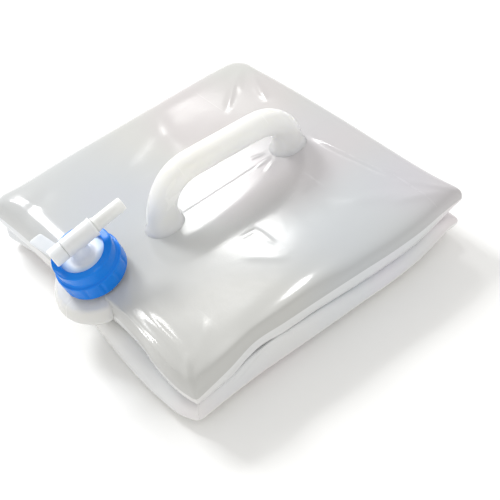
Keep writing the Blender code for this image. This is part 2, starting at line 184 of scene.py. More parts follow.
def film_skin(name, outer, inner, thick):
    """A closed body of film between two grids of the same size, joined all round their edge, with
    a third grid that says how thick its wall looks and how much painted shade greys it."""
    rows, cols = outer.shape[:2]
    top = np.arange(rows * cols).reshape(rows, cols)
    low = top + rows * cols
    rim = np.concatenate([top[0, :-1], top[:-1, -1], top[-1, :0:-1], top[:0:-1, 0]])
    beside = np.roll(rim, -1)
    sides = np.stack([beside, rim, rim + rows * cols, beside + rows * cols], -1)
    quads = np.concatenate([cells(top)[:, ::-1], cells(low), sides])
    skin = add_piece(name, np.concatenate([outer.reshape(-1, 3), inner.reshape(-1, 3)]), quads)
    mark(skin, "thick", [thick, thick])
    return skin


def tube(name, rings, looped=False, sharp=38.0):
    """A body through closed rings of points; looped joins the last ring to the first.

    Otherwise each end is closed by a fan to the middle of its ring.
    """
    rows, cols = rings.shape[:2]
    index = np.arange(rows * cols).reshape(rows, cols)
    quads = cells(index, wrap_rows=looped, wrap_cols=True)
    if looped:
        return add_piece(name, rings, quads, sharp=sharp)
    ends = np.stack([rings[0].mean(0), rings[-1].mean(0)])
    tris = np.concatenate([fan(index[0], rows * cols), fan(index[-1], rows * cols + 1)[:, ::-1]])
    return add_piece(name, np.concatenate([rings.reshape(-1, 3), ends]), quads, tris, sharp)


def circle(steps):
    """Angles of one whole turn, evenly spaced, as a row."""
    return np.linspace(0, 2 * math.pi, steps, endpoint=False)[None, :]


def squared_off(angle, power):
    """Cosine and sine of an angle, each raised to a power with its sign kept: below one, the circle
    that they draw is squared off."""
    return [np.sign(f(angle)) * np.abs(f(angle)) ** power for f in (np.cos, np.sin)]


def turn(profile, steps=96, swell=None):
    """Rings of a turned shape from (radius, height) rows: the radius times cosine and sine of
    the angle, at that height. swell(angle, radius, height) may change the radius over the surface."""
    profile = np.asarray(profile, float)
    angle = circle(steps)
    radius, height = profile[:, :1], profile[:, 1:2]
    r = radius + (0 if swell is None else swell(angle, radius, height))
    return np.stack([r * np.cos(angle), r * np.sin(angle), height + 0 * angle], -1)


def rounded(profile, radius, steps=4, closed=False):
    """A profile whose corners are eased: each corner is swapped for a short parabola whose ends
    lie up to radius away along both edges, never past half an edge. Doubled points are left out."""
    p = np.asarray(profile, float)
    before, after = np.roll(p, 1, 0) - p, np.roll(p, -1, 0) - p
    reach = [np.minimum(radius, np.linalg.norm(v, axis=1) * 0.5) for v in (before, after)]
    ends = [p + v / np.maximum(np.linalg.norm(v, axis=1), TINY)[:, None] * r[:, None]
            for v, r in zip((before, after), reach)]
    t = np.linspace(0, 1, steps + 1)[None, :, None]
    arc = (1 - t) ** 2 * ends[0][:, None] + 2 * t * (1 - t) * p[:, None] + t ** 2 * ends[1][:, None]
    line = arc.reshape(-1, 2) if closed else np.concatenate([p[:1], arc[1:-1].reshape(-1, 2), p[-1:]])
    return line[np.linalg.norm(line - np.roll(line, 1, 0), axis=1) > TINY]


def distances(line):
    """How far each point of a line lies from its first, measured along the line."""
    return np.concatenate([[0], np.cumsum(np.linalg.norm(np.diff(line, axis=0), axis=1))])


def points_at(line, places):
    """Points of a flat line at given distances along it."""
    return np.stack([np.interp(places, distances(line), line[:, k]) for k in (0, 1)], -1)


def smoothstep(low, high, x):
    """0 below low, 1 above high, and 3t^2 - 2t^3 between."""
    t = np.clip((x - low) / (high - low), 0, 1)
    return t * t * (3 - 2 * t)


def soft_max(a, b, soft):
    """The larger of two numbers, with a fillet where they cross within soft of each other."""
    h = np.clip(0.5 + 0.5 * (a - b) / soft, 0, 1)
    return b + (a - b) * h + soft * h * (1 - h)

# %% [markdown]
# ## Light and floor
# The carrier lies on white card in a bright white room. A soft key lamp on its left throws the pale
# shadow on its right. A small upright lamp, like a window, stands where the flat panel mirrors it
# into the camera, as the white patch under the handle. Point lamps would give hard edges; the size
# of an area lamp sets how soft they are.

# %% Lamps
def area_lamp(name, place, aim, width, height, watts, tint):
    """A rectangular lamp at a place in metres, turned to face the aim."""
    data = bpy.data.lights.new(name, "AREA")
    data.shape = "RECTANGLE"
    data.size, data.size_y = width, height
    data.energy, data.color = watts, tint
    lamp = placed(name, data)
    lamp.location = place
    lamp.rotation_euler = (Vector(place) - Vector(aim)).to_track_quat("Z", "Y").to_euler()
    print(name, "at", [round(v, 2) for v in place])


WINDOW_AWAY, WINDOW_DROP = 1.7, 0.05
mirror = Vector((-back.x, -back.y, back.z))
glint = Vector((-0.022, -0.002, 0.05))
window = glint + mirror * WINDOW_AWAY + Vector((0, 0, -WINDOW_DROP))
area_lamp("window_lamp", window, glint, 0.20, 0.27, 3.5, (1.0, 0.998, 0.99))
area_lamp("key_lamp", (-1.38, -0.09, 1.26), (0, 0, 0), 0.48, 0.48, 20, (0.985, 0.995, 1.0))

# %% Sky
def add_node(tree, kind, links=None, **settings):
    """A node with settings; links maps an input's name or number to a socket or a value."""
    node = tree.nodes.new(kind)
    for key, value in settings.items():
        setattr(node, key, value)
    for key, value in (links or {}).items():
        if isinstance(value, bpy.types.NodeSocket):
            tree.links.new(value, node.inputs[key])
        else:
            node.inputs[key].default_value = value
    return node


world = bpy.data.worlds.new("studio")
world.use_nodes = True
sky = world.node_tree
way = add_node(sky, "ShaderNodeTexCoord").outputs["Generated"]
split = add_node(sky, "ShaderNodeSeparateXYZ", {0: way})
ramp = add_node(sky, "ShaderNodeValToRGB", {"Fac": split.outputs["Z"]})
sky.nodes["Background"].inputs["Strength"].default_value = 0.87
sky.links.new(ramp.outputs["Color"], sky.nodes["Background"].inputs["Color"])
horizon, zenith = ramp.color_ramp.elements
horizon.color = (1.13, 1.12, 1.09, 1)
zenith.color, zenith.position = (0.93, 0.925, 0.91, 1), 0.75
bpy.context.scene.world = world

# %% Floor
FLOOR_HALF = 4.0
floor_mesh = bpy.data.meshes.new("floor")
corners = [(x * FLOOR_HALF, y * FLOOR_HALF, 0) for x, y in ((-1, -1), (1, -1), (1, 1), (-1, 1))]
floor_mesh.from_pydata(corners, [], [(0, 1, 2, 3)])
placed("floor", floor_mesh)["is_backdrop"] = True
card = bpy.data.materials.new("white_card")
card.use_nodes = True
card_shader = card.node_tree.nodes["Principled BSDF"]
card_shader.inputs["Base Color"].default_value = (0.93, 0.93, 0.925, 1)
card_shader.inputs["Roughness"].default_value = 0.9
floor_mesh.materials.append(card)

# %% [markdown]
# ## Finishes
# Milky polyethylene is never even: it has clouds of thicker and thinner film, hairline scratches
# from folding, and a raised line where the mould's halves met. Painted textures could show that, but
# nodes stay sharp from near and need no unwrapping. Several pieces share these effects, so each is a
# node group that gives values and heights, and the shader stays in each material.

# %% Tools for node groups
def node_group(name, outputs, **numbers):
    """An empty shader group that takes a Vector and numbers with their usual values, and the sockets
    that it is given and that it gives back."""
    group = bpy.data.node_groups.new(name, "ShaderNodeTree")
    group.interface.new_socket("Vector", in_out="INPUT", socket_type="NodeSocketVector")
    for label, value in numbers.items():
        socket = group.interface.new_socket(label, in_out="INPUT", socket_type="NodeSocketFloat")
        socket.default_value = value
    for label in outputs:
        group.interface.new_socket(label, in_out="OUTPUT", socket_type="NodeSocketFloat")
    return group, group.nodes.new("NodeGroupInput").outputs, group.nodes.new("NodeGroupOutput").inputs


def sums(tree, operation, a, b=0.0, c=None, clamp=False):
    """One Math node's result."""
    links = {0: a, 1: b} if c is None else {0: a, 1: b, 2: c}
    return add_node(tree, "ShaderNodeMath", links, operation=operation, use_clamp=clamp).outputs[0]


def remap(tree, value, low, high, to_low=0.0, to_high=1.0, smooth=False):
    """A value's range stretched onto another."""
    links = {"Value": value, "From Min": low, "From Max": high, "To Min": to_low, "To Max": to_high}
    kind = "SMOOTHSTEP" if smooth else "LINEAR"
    return add_node(tree, "ShaderNodeMapRange", links, interpolation_type=kind).outputs[0]

# %% Clouds and ripples of blown film
FINER, FINE_SHARE = 9.0, 0.35


def noise(tree, vector, scale, detail=1.0, rough=0.5, distortion=0.0):
    """One noise texture's value."""
    return add_node(tree, "ShaderNodeTexNoise", {"Vector": vector, "Scale": scale, "Detail": detail,
                    "Roughness": rough, "Distortion": distortion}).outputs["Fac"]


clouds, given, gives = node_group("film_clouds", ["Clouds", "Ripples"], Scale=14.0)
wide = noise(clouds, given["Vector"], given["Scale"], 3.0, 0.55)
fine_scale = sums(clouds, "MULTIPLY", given["Scale"], FINER)
fine = noise(clouds, given["Vector"], fine_scale, 4.0, 0.6, 0.6)
clouds.links.new(wide, gives["Clouds"])
clouds.links.new(sums(clouds, "MULTIPLY_ADD", fine, FINE_SHARE, wide), gives["Ripples"])

# %% Hairline scratches
scratches, given, gives = node_group("film_scratches", ["Scratches"], Scale=1.0, Amount=0.5)
strokes = []
for turned_by, stretch in ((0.5, (260.0, 9.0, 60.0)), (-0.9, (9.0, 300.0, 60.0))):
    lay = add_node(scratches, "ShaderNodeMapping", {"Vector": given["Vector"],
                   "Rotation": (0.0, 0.0, turned_by), "Scale": stretch})
    strokes.append(remap(scratches, noise(scratches, lay.outputs[0], given["Scale"]), 0.70, 0.76))
both = sums(scratches, "MAXIMUM", *strokes)
scratches.links.new(sums(scratches, "MULTIPLY", both, given["Amount"]), gives["Scratches"])

# %% The mould's parting line
parting, given, gives = node_group("parting_line", ["Ridge"], Width=0.0011)
cut = add_node(parting, "ShaderNodeSeparateXYZ", {0: given["Vector"]})
off = sums(parting, "ABSOLUTE", cut.outputs["X"])
share = sums(parting, "DIVIDE", off, given["Width"])
hump = remap(parting, share, 0.3, 1.0, 1.0, 0.0, smooth=True)
groove = remap(parting, share, 0.0, 0.32, 0.75, 0.0, smooth=True)
parting.links.new(sums(parting, "SUBTRACT", hump, groove), gives["Ridge"])
print("groups:", [g.name for g in bpy.data.node_groups])

# %% [markdown]
# ### Film
# Soft polyethylene film scatters light inside and lets some through. Real refraction in a wall
# under a millimetre thick only adds noise, so the film here is a glossy scattering skin with an
# opacity below one that changes with its clouds and is highest where the wall is thick. Towards
# the rims its colour is greyed too: painted shade for the grey of its edges.

# %% Tools for materials
def blank_material(name):
    """A new material's parts: itself, its tree, its shader and its Object coordinates."""
    material = bpy.data.materials.new(name)
    material.use_nodes = True
    tree = material.node_tree
    coords = add_node(tree, "ShaderNodeTexCoord").outputs["Object"]
    return material, tree, tree.nodes["Principled BSDF"], coords


def effect(tree, group, links):
    """One of the groups above, placed in a material."""
    return add_node(tree, "ShaderNodeGroup", links, node_tree=group)


def mixed(tree, factor, a, b, blend="MIX"):
    """Two colours mixed, each given as a socket or as three numbers."""
    a, b = ((*colour, 1) if isinstance(colour, tuple) else colour for colour in (a, b))
    return add_node(tree, "ShaderNodeMix", {"Factor": factor, "A": a, "B": b},
                    data_type="RGBA", blend_type=blend).outputs["Result"]


def dress(tree, shader, paint, matt, relief, bump, ior, deep, radius):
    """Links colour, roughness and relief, whose bump is (strength, depth in metres), and sets how the
    plastic bends light, the share of it that goes in and how far, in metres."""
    raised = add_node(tree, "ShaderNodeBump", {"Height": relief, "Strength": bump[0], "Distance": bump[1]})
    for label, socket in (("Base Color", paint), ("Roughness", matt), ("Normal", raised.outputs[0])):
        tree.links.new(socket, shader.inputs[label])
    for label, value in (("IOR", ior), ("Subsurface Weight", deep), ("Subsurface Radius", radius),
                         ("Subsurface Scale", 1.0)):
        shader.inputs[label].default_value = value

# %% Film material
# How much the thick mark darkens the film's tone: painted shade at its rims.
CLOUD_SCALE, THICK_AND_SHADE_SHARE, STOPS = 9.0, 0.35, (0.36, 0.5, 0.64)
WARM_COOL = (0.965, 0.985, 1.015), (0.99, 0.99, 0.985), (1.025, 1.005, 0.965)
ROSY = (1.0, 1.0, 1.0), (1.0, 1.0, 1.0), (1.03, 0.98, 1.01)


def film(name, light, shade, clear, rough, seed, ridge=0.5, deep=0.0):
    """Milky plastic film: two tones by clouds, painted shade towards the rims by the thick mark,
    drifting warm, cool and rosy tints, opacity, scratches and the parting line. deep is the share of
    light that goes some millimetres into it."""
    material, tree, shader, coords = blank_material(name)
    moved = add_node(tree, "ShaderNodeMapping",
                     {"Vector": coords, "Location": (seed, seed * 0.7, 0)}).outputs[0]
    cloud = effect(tree, clouds, {"Vector": moved, "Scale": CLOUD_SCALE})
    lines = effect(tree, scratches, {"Vector": moved}).outputs[0]
    seam = effect(tree, parting, {"Vector": coords}).outputs[0]
    # The thick mark: more opacity, and painted shade that greys the film towards its rims.
    thick = add_node(tree, "ShaderNodeAttribute", attribute_name="thick").outputs["Fac"]
    patch = remap(tree, cloud.outputs["Clouds"], 0.3, 0.7, 0.0, 0.55)
    tone = sums(tree, "MULTIPLY_ADD", thick, THICK_AND_SHADE_SHARE, patch, clamp=True)
    paint = mixed(tree, tone, light, shade)
    for drift, size, tints in ((0.0, 7.0, WARM_COOL), (3.1, 9.0, ROSY)):
        aside = add_node(tree, "ShaderNodeMapping", {"Vector": moved, "Location": (drift, 0, 0)})
        hue = add_node(tree, "ShaderNodeValToRGB", {"Fac": noise(tree, aside.outputs[0], size)})
        hue.color_ramp.elements.new(0.5)
        for stop, place, tint in zip(hue.color_ramp.elements, STOPS, tints):
            stop.position, stop.color = place, (*tint, 1)
        paint = mixed(tree, 1.0, paint, hue.outputs["Color"], "MULTIPLY")
    tree.links.new(remap(tree, tone, 0.0, 1.0, clear, min(1.0, clear + 0.2)), shader.inputs["Alpha"])
    matt = remap(tree, cloud.outputs["Ripples"], 0.4, 0.95, rough - 0.05, rough + 0.08)
    matt = sums(tree, "MULTIPLY_ADD", lines, 0.25, matt)
    relief = sums(tree, "MULTIPLY_ADD", lines, -0.12, cloud.outputs["Ripples"])
    relief = sums(tree, "MULTIPLY_ADD", seam, ridge, relief)
    dress(tree, shader, paint, matt, relief, (0.11, 0.0015), 1.5, deep, (0.010, 0.010, 0.009))
    return material


# The gusset and foot films are lighter than the panel's: painted light for the light their steep faces
# lack.
PANEL_FILM = film("panel_film", (0.61, 0.622, 0.628), (0.515, 0.525, 0.53), 0.84, 0.13, 0.13)
GUSSET_FILM_PAINTED_LIGHT = film("gusset_film_painted_light", (0.84, 0.845, 0.85), (0.75, 0.755, 0.76), 0.84, 0.13, 0.71, ridge=0.2)
BASE_FILM = film("base_film", (0.93, 0.93, 0.925), (0.86, 0.86, 0.855), 0.88, 0.13, 0.37)
FOOT_FILM_PAINTED_LIGHT = film("foot_film_painted_light", (0.78, 0.79, 0.80), (0.66, 0.67, 0.68), 0.84, 0.16, 0.13, deep=0.4)
# The handle's film is whiter where its plastic is thicker, and lighter still as painted light on its
# shaded legs.
HANDLE_WHITER_FILM_PAINTED_LIGHT = film("handle_film", (0.96, 0.96, 0.94), (0.92, 0.92, 0.90), 0.66, 0.2, 0.53,
                   ridge=0.8, deep=0.7)
print("materials so far:", [m.name for m in bpy.data.materials])

# %% [markdown]
# ### Ring and tap plastics
# The ring is a glossy solid blue. The tap is moulded in natural polyethylene, which looks like
# milky ice: light goes some millimetres into it. That could be done with a see-through shader, but
# subsurface scattering gives the same soft edges with less noise, so its opacity stays at one.

# %% Ring, tap and gasket materials
FLOW_SCALE = 60.0


def moulded(name, colours, rough, deep=0.0, ior=1.45, edge=None):
    """A moulded plastic: two close tones by flow marks, faint relief, and light going deep in it.
    An edge colour is mixed in by the piece's "edge" marks: a painted reflection there."""
    material, tree, shader, coords = blank_material(name)
    flow = effect(tree, clouds, {"Vector": coords, "Scale": FLOW_SCALE})
    paint = mixed(tree, remap(tree, flow.outputs["Clouds"], 0.3, 0.7), *colours)
    if edge:
        share = add_node(tree, "ShaderNodeAttribute", attribute_name="edge").outputs["Fac"]
        paint = mixed(tree, share, paint, edge)
    relief = flow.outputs["Ripples"]
    matt = remap(tree, relief, 0.4, 0.95, rough - 0.04, rough + 0.07)
    dress(tree, shader, paint, matt, relief, (0.12, 0.0006), ior, deep, (0.004, 0.004, 0.004))
    return material


RING_BLUE = moulded("ring_blue", ((0.004, 0.18, 0.71), (0.007, 0.22, 0.79)), 0.16, ior=1.3)
TAP_ICE = moulded("tap_ice", ((0.76, 0.78, 0.80), (0.82, 0.83, 0.84)), 0.33, 0.6)
# The flange's outer edge is painted blue: a painted reflection of the ring round it.
FLANGE_ICE_RING_REFLECTION = moulded("flange_ice_ring_reflection", ((0.76, 0.79, 0.83), (0.82, 0.84, 0.87)), 0.3, 0.5,
                     edge=(0.16, 0.44, 0.88))
# The lever is the tap's plastic darkened: painted shade that holds down the light on its broad top.
LEVER_ICE_SHADED = moulded("lever_ice_shaded", ((0.60, 0.625, 0.66), (0.66, 0.68, 0.71)), 0.5, 0.5, ior=1.3)
PLUG_ICE = moulded("plug_ice", ((0.80, 0.81, 0.79), (0.85, 0.86, 0.84)), 0.32, 0.7)
GASKET_GREY = moulded("gasket_grey", ((0.70, 0.70, 0.68), (0.76, 0.76, 0.74)), 0.6, 0.1)
print("all materials:", len(bpy.data.materials))

# %% [markdown]
# ## The bag
# Both dishes are a flat panel with a wide rounded shoulder, whose rings are squares with round
# corners. Below the widest the film rolls in, and there the gusset starts. The real film is no clean
# shape: its rims wander, the seam rises and falls, and soft ridges run into the corners. Sculpting or
# cloth simulation could give such film, but not the same film at every pose, so each side's wandering
# is a table read through a smooth curve, and each ridge is a bump along a line.

# %% Sizes of the folded bag, read from the frame
low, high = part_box("bottom_panel")
HALF, LOWER_FOLD = high.x / MM, high.z / MM
# Height of the flat panel, how far in the folds lie, width of the shoulder, thickness of the film
FLAT, FOLD_INSET, SHOULDER, FILM = 50.0, 4.0, 28.0, 0.6
UPPER_FOLD, FOLD = FLAT - LOWER_FOLD, HALF - FOLD_INSET
CREASE_Y, CREASE_Z = 13.52, FLAT / 2
TILT = (CREASE_Z - LOWER_FOLD) / (FOLD - CREASE_Y)
print("widest half", round(HALF, 2), "folds at", round(LOWER_FOLD, 2), round(UPPER_FOLD, 2),
      "gusset tilt", round(math.degrees(math.atan(TILT)), 2))

# %% How the rims and the seam wander
# Columns: place along the side, upper rim's outward shift and height, the seam's height and gap,
# lower rim's outward shift and height, and how far in the upper roll has its crest. Sides run round
# the bag, so each ends with the corner that starts the next.
UP_OUT, UP_RIM, SEAM, GAP, LOW_OUT, LOW_RIM, CREST = range(1, 8)
# Half a side's length in mm, so every side runs from -CORNER to CORNER
CORNER = 117.5
WANDER = {
    "front": [(-CORNER, 0, 31, 20, .8, 0, 9, 2.5), (-80, -1, 31, 19, .8, -6.5, 9, 2),
              (-35, -.5, 33, 19, .8, -4, 9, 2.5), (0, 0, 37, 21.5, 1, 2, 9, 4),
              (30, -.5, 38.5, 23.5, 1, 6, 9, 5.5), (60, 1, 38.5, 22.5, 1, 8.5, 9, 6),
              (85, 4.5, 36.5, 19.5, 1, 8.8, 9, 6), (104, 3.5, 33, 18, 1, 6.5, 9, 6)],
    "right": [(-CORNER, 0, 30.5, 20.5, .8, 0, 10, 5), (-91, 0, 36.5, 22.3, .8, -2, 9, 6),
              (-67, -3.5, 38.5, 27.5, 1, -2.2, 9, 6), (-44, -2, 38.5, 26.2, 1, -1.2, 9, 6),
              (-18, -.5, 38.5, 24.6, 1, 0, 9, 6), (19, 2, 38.5, 20.8, 1, 1.4, 9, 6),
              (50, 4.2, 38.5, 19.8, 1, 2.7, 9, 6), (76, 4.2, 38.2, 20.3, 1.2, 2, 9.5, 6),
              (98, 2, 37.8, 23.5, 4, -.5, 11, 6), (110, .5, 37.5, 25, 11, -1.5, 13, 6)],
    "back": [(-CORNER, 0, 37.5, 25.5, 14, 0, 14, 6), (-95, -1.3, 38, 25, 6, .5, 10.5, 6),
             (-40, -1.4, 38.5, 24, 2, 2, 9, 6), (0, -.9, 38.5, 25, 2.5, 2.5, 9, 6),
             (45, -1.3, 38.5, 24.5, 2, 2, 9, 6), (95, -1.8, 38, 25, 4, 1, 10, 6)],
    "left": [(-CORNER, 0, 37.5, 25, 5, 0, 12, 6), (-80, -1, 38.5, 24.5, 2.5, 1.5, 9, 6),
             (0, 0, 38, 24, 2, 2, 9, 6), (75, 1, 36, 21, 1.5, 0, 9, 4)]}
starts = [rows[0] for rows in WANDER.values()]
for rows, following in zip(WANDER.values(), starts[1:] + starts[:1]):
    rows.append((CORNER, *following[1:]))
print("rows of wandering:", {side: len(rows) for side, rows in WANDER.items()})


def wander(side, place, column):
    """A column of a side's table at each place: a cubic from row to row, whose slope at a row is
    that of the line between its neighbours."""
    table = np.array(WANDER[side], float)
    x, y = table[:, 0], table[:, column]
    slope = np.gradient(y, x)
    place = np.clip(place, x[0], x[-1])
    k = np.clip(np.searchsorted(x, place) - 1, 0, len(x) - 2)
    step = x[k + 1] - x[k]
    t = (place - x[k]) / step
    return (y[k] * (1 + 2 * t) * (1 - t) ** 2 + y[k + 1] * t * t * (3 - 2 * t)
            + step * t * (1 - t) * (slope[k] * (1 - t) - slope[k + 1] * t))


def all_round(x, y, column):
    """A column of the tables at plan points, each taken from the side that the point is nearest to."""
    ring = np.maximum(np.maximum(np.abs(x), np.abs(y)), TINY)
    parts = [(-y, x), (x, y), (y, -x), (-x, -y)]
    near = [outwards >= ring - TINY for outwards, _ in parts]
    return np.select(near, [wander(s, p / ring * HALF, column) for s, (_, p) in zip(WANDER, parts)])


# %% Plan and height of a dish
# Radius of a ring's corners where the shoulder meets the flat
WIDE = 24.0


def dish_shares(shoulder_rows=22, flat_rows=80):
    """Numbers from -1 to 1: even over the flat, and over the shoulder spaced by the angle round it."""
    angle = np.linspace(0, math.pi / 2, shoulder_rows + 1)
    edge = 1 - SHOULDER / HALF * (1 - np.cos(angle))
    half = np.concatenate([np.linspace(0, edge[-1], flat_rows)[:-1], edge[::-1]])
    return np.concatenate([-half[:0:-1], half])


def corner_plan(u, v, tips, out_column):
    """Moves the points of a square grid so that each square ring gets round corners.

    u and v run from -1 to 1. A point's ring is the larger of |u| and |v|; along its ring, the last
    stretch before the diagonal is laid round an arc. tips are the arc's radii at the widest for the
    corners (-x-y, +x-y, +x+y, -x+y), growing to WIDE at the flat. The rim's wandering fades inwards.
    """
    ring = np.maximum(np.abs(u), np.abs(v)) * HALF
    inset = HALF - ring
    tip = np.where(v < 0, np.where(u < 0, tips[0], tips[1]), np.where(u < 0, tips[3], tips[2]))
    radius = tip + (WIDE - tip) * np.clip(inset / SHOULDER, 0, 1)
    radius = np.minimum(radius, ring * 0.9)
    along = np.minimum(np.abs(u), np.abs(v)) * HALF
    start = ring - radius
    turned = np.clip((along - start) / np.maximum(radius, TINY), 0, 1) * math.pi / 4
    short_way = np.where(along > start, start + radius * np.sin(turned), along)
    long_way = np.where(along > start, start + radius * np.cos(turned), ring)
    sideways = np.abs(u) >= np.abs(v)
    ways = (u, sideways), (v, ~sideways)
    x, y = (np.sign(a) * np.where(b, ring, short_way) for a, b in ways)
    out = all_round(x, y, out_column) * smoothstep(SHOULDER, 0, inset)
    fx, fy = (np.sign(a) * np.where(b, long_way + out, short_way) for a, b in ways)
    return fx, fy, inset, (x, y)


def shoulder(inset, rim, top, power=3.2):
    """Height from the rim to the flat: top less the drop times (1 - (1 - share)^n)^(1/n)."""
    share = 1 - np.clip(inset / SHOULDER, 0, 1)
    return rim + (top - rim) * np.clip(1 - share ** power, 0, 1) ** (1 / power)


def ridges(x, y, lines):
    """Sum of soft ridges. Each line is (x0, y0, x1, y1, height, width): a bump across the line
    that falls off as the exponential of the squared distance over the width, faded at its ends."""
    total = np.zeros(np.broadcast(x, y).shape)
    for x0, y0, x1, y1, height, width in lines:
        dx, dy = x1 - x0, y1 - y0
        length = math.hypot(dx, dy)
        t = ((x - x0) * dx + (y - y0) * dy) / length
        beside = ((x - x0) * dy - (y - y0) * dx) / length
        fade = smoothstep(-width, 0.3 * length, t) * smoothstep(length + width, 0.7 * length, t)
        total += height * fade * np.exp(-(beside / width) ** 2)
    return total


# A quarter turn and a whole turn, in radians to two places
QUARTER, TURN = 1.57, 6.28


def swells(x, y, seed, size):
    """Slow waves: four sines of unlike length and direction, summed and scaled."""
    rng = np.random.default_rng(seed)
    total = np.zeros(np.broadcast(x, y).shape)
    for _ in range(4):
        heading, length, phase = rng.uniform(0, math.pi), rng.uniform(70, 150), rng.uniform(0, TURN)
        total += np.sin((x * math.cos(heading) + y * math.sin(heading)) / length * TURN + phase)
    return total * size / 2

# %% Ridges of the top panel, by corner
# Each is (x0, y0, x1, y1, height, width); a height below zero makes a furrow.
FRONT_RIGHT = [(8, -114, 142, -124, 3.0, 3.6), (48, -106, 126, -111, 1.3, 2.8),
               (98, -107, 124, -126, 1.2, 2.6), (111, 14, 118, -126, 2.5, 6.0),
               (86, -82, 112, -111, 0.4, 4.0)]
BACK_RIGHT = [(2, 82, 92, 94, 0.8, 2.6), (66, 46, 116, 104, 0.6, 6.0), (82, 90, 116, 110, 0.6, 2.2),
              (96, 70, 115, 108, 0.5, 2.6), (100, 98, 116, 114, 0.4, 1.6)]
BACK_LEFT = [(-62, 58, -97, 99, 0.6, 2.6), (-50, 88, -86, 103, 0.6, 2.6), (-72, 80, -100, 104, 0.3, 2.0)]
FRONT_LEFT = [(-88, -84, -80, -118, -0.7, 7.0), (-76, -97, -102, -104, 0.3, 2.4)]
MIDDLE = [(47, -9, 68, -9, 0.14, 2.5), (48, -22, 49, -8, 0.14, 1.6), (62, -31, 84, -12, 0.14, 3.5),
          (-112, 20, -52, 6, 0.8, 9.0), (-5, 46, -8, 34, 0.35, 0.9), (1, 47, 2, 32, 0.4, 0.9),
          (6, 46, 10, 35, 0.3, 0.8), (-70, -40, -95, 30, 0.6, 10.0)]
TOP_RIDGES = FRONT_RIGHT + BACK_RIGHT + BACK_LEFT + FRONT_LEFT + MIDDLE
# How much higher the middle of the panel is
CROWN = 0.8
print("ridges:", len(TOP_RIDGES))


def top_height(x, y, inset, rim):
    """Height of the top panel over the ground at a plan point: the shoulder, a low crown, slow
    waves that start past the rim, and the ridges."""
    crown = (CROWN * np.cos(np.clip(x / HALF, -1, 1) * QUARTER)
             * np.cos(np.clip(y / HALF, -1, 1) * QUARTER))
    waves = smoothstep(2, 26, inset) * (swells(x, y, 4, 0.5) + crown - CROWN / 2)
    return shoulder(inset, rim, FLAT) + waves + smoothstep(0, 3, inset) * ridges(x, y, TOP_RIDGES)

# %% Tugs at the corners: place, shift and width
UPPER_TUGS = [(CORNER, CORNER, 1.5, 1, 0, 16), (CORNER, -CORNER, -1, -0.5, -2, 20),
              (-CORNER, CORNER, 2, -2, -1, 26), (-CORNER, -CORNER, -3.5, -1, 0, 20)]
LOWER_TUGS = [(CORNER, -CORNER, -0.5, -2, 0, 14), (-CORNER, -CORNER, -1, 0.5, 0, 22)]


def tug(grid, tugs):
    """Pulls a grid about at corners: each shift fades as the exponential of the squared plan
    distance over its width, so a dish and its walls move alike along their shared rim."""
    moved = grid.copy()
    for x, y, dx, dy, dz, width in tugs:
        near = np.exp(-((grid[..., 0] - x) ** 2 + (grid[..., 1] - y) ** 2) / width ** 2)
        moved += near[..., None] * np.array([dx, dy, dz])
    return moved

# %% Top panel
# Corner radii at the widest, and how far in the rims look thick and carry painted shade
TOP_TIPS, BASE_TIPS = (6, 3, 2, 12), (6, 3, 3, 10)
THICK_AND_SHADED_RIM = 16
shares = dish_shares()
u, v = np.meshgrid(shares, shares)
x, y, inset, square = corner_plan(u, v, TOP_TIPS, UP_OUT)
height = top_height(x, y, inset, all_round(*square, UP_RIM))
panel_grid = tug(np.stack([x, y, height], -1), UPPER_TUGS)
top_panel = film_skin("top_panel_skin", panel_grid, panel_grid - FILM * facing(panel_grid),
                      1 - smoothstep(0, THICK_AND_SHADED_RIM, inset))
print("top panel height in mm:", panel_grid[..., 2].min().round(2), panel_grid[..., 2].max().round(2))

# %% Bottom panel
BOTTOM_RIDGES = [(30, -100, 112, -112, 0.8, 4.0), (104, -40, 113, -110, 0.8, 4.0),
                 (100, 20, 114, 108, 0.7, 4.0), (-100, -40, -112, -110, 0.6, 4.0)]
x, y, inset, square = corner_plan(u, v, BASE_TIPS, LOW_OUT)
edge_band = smoothstep(4, 12, inset) * (1 - smoothstep(20, 34, inset))
dent = edge_band * (ridges(x, y, BOTTOM_RIDGES) + swells(x, y, 9, 0.35))
base_height = np.maximum(shoulder(inset, all_round(*square, LOW_RIM), 0.0, 2.0) + dent, 0.0)
base_grid = tug(np.stack([x, y, base_height], -1), LOWER_TUGS)
bottom_panel = film_skin("bottom_panel_skin", base_grid, base_grid + FILM * facing(base_grid),
                         1 - smoothstep(0, THICK_AND_SHADED_RIM, inset))

# %% [markdown]
# ### Gussets
# Each side folds inwards at mid height. Folded flat, its two halves puff out into soft rolls that
# press on each other and part only at the back right corner. The four sides meet along the diagonals
# like a picture frame's, with the spare film of every corner tucked behind the next side. A hinged
# flat flap would leave a gap at the roll, so each half side is one wall that runs from its dish's
# roll over its flap.

# %% Profile of a half side
ROLL_FADE = 26


def crest_inset(side, place, upper):
    """How far in from the flat bag's side the roll has its crest; below a rim that is drawn in, the
    lower roll keeps at least 2 mm of depth."""
    crest = wander(side, place, CREST)
    return crest if upper else np.maximum(0.8 * crest, 2 - wander(side, place, LOW_OUT))


def gusset_plane(inset, upper):
    """Height of the gusset's plain sloping plane at a distance in."""
    return (UPPER_FOLD if upper else LOWER_FOLD) - (1 if upper else -1) * TILT * (inset - FOLD_INSET)


